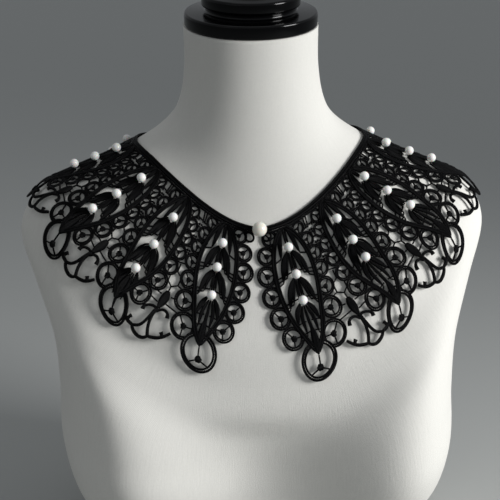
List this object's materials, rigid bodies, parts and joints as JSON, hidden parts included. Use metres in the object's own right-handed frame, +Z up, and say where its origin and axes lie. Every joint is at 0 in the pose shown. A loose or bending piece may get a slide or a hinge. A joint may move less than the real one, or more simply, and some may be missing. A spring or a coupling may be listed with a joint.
{
  "type": "lace collar on a dress form",
  "caption": "Scalloped black guipure lace collar with leaf panels, rings and sewn-on pearls, lying on a limbless cloth-covered dress form with a turned wooden neck cap",
  "frame": {"origin": "middle of the flat base of the form, at the bottom centre of the bounding box", "axes": "+Z up from the base to the neck cap; -Y is the collar's front; +X is to the right of a viewer in front"},
  "size_m": [0.3954, 0.25, 0.4774],
  "materials": {
    "lace_thread": "slightly glossy black embroidery thread",
    "pearl_white": "white imitation pearl",
    "pearl_cream": "cream imitation pearl with a soft lustre",
    "form_cloth": "off-white slub cloth stretched over a rigid shell",
    "cap_wood": "turned wood in black gloss lacquer"
  },
  "bodies": {
    "root": {"band_left": "lace_thread", "band_right": "lace_thread", "form_torso": "form_cloth", "front_pearl": "pearl_cream", "lace_left": "lace_thread", "lace_right": "lace_thread", "neck_cap": "cap_wood", "pearl_left_1_1": "pearl_white", "pearl_left_1_2": "pearl_white", "pearl_left_1_3": "pearl_white", "pearl_left_2_1": "pearl_white", "pearl_left_2_2": "pearl_white", "pearl_left_2_3": "pearl_white", "pearl_left_3_1": "pearl_white", "pearl_left_3_2": "pearl_white", "pearl_left_3_3": "pearl_white", "pearl_left_4_1": "pearl_white", "pearl_left_4_2": "pearl_white", "pearl_left_4_3": "pearl_white", "pearl_left_5_1": "pearl_white", "pearl_left_5_2": "pearl_white", "pearl_left_5_3": "pearl_white", "pearl_left_6_1": "pearl_white", "pearl_left_6_2": "pearl_white", "pearl_left_6_3": "pearl_white", "pearl_left_7_1": "pearl_white", "pearl_left_7_2": "pearl_white", "pearl_left_7_3": "pearl_white", "pearl_right_1_1": "pearl_white", "pearl_right_1_2": "pearl_white", "pearl_right_1_3": "pearl_white", "pearl_right_2_1": "pearl_white", "pearl_right_2_2": "pearl_white", "pearl_right_2_3": "pearl_white", "pearl_right_3_1": "pearl_white", "pearl_right_3_2": "pearl_white", "pearl_right_3_3": "pearl_white", "pearl_right_4_1": "pearl_white", "pearl_right_4_2": "pearl_white", "pearl_right_4_3": "pearl_white", "pearl_right_5_1": "pearl_white", "pearl_right_5_2": "pearl_white", "pearl_right_5_3": "pearl_white", "pearl_right_6_1": "pearl_white", "pearl_right_6_2": "pearl_white", "pearl_right_6_3": "pearl_white", "pearl_right_7_1": "pearl_white", "pearl_right_7_2": "pearl_white", "pearl_right_7_3": "pearl_white"}
  },
  "joints": []
}
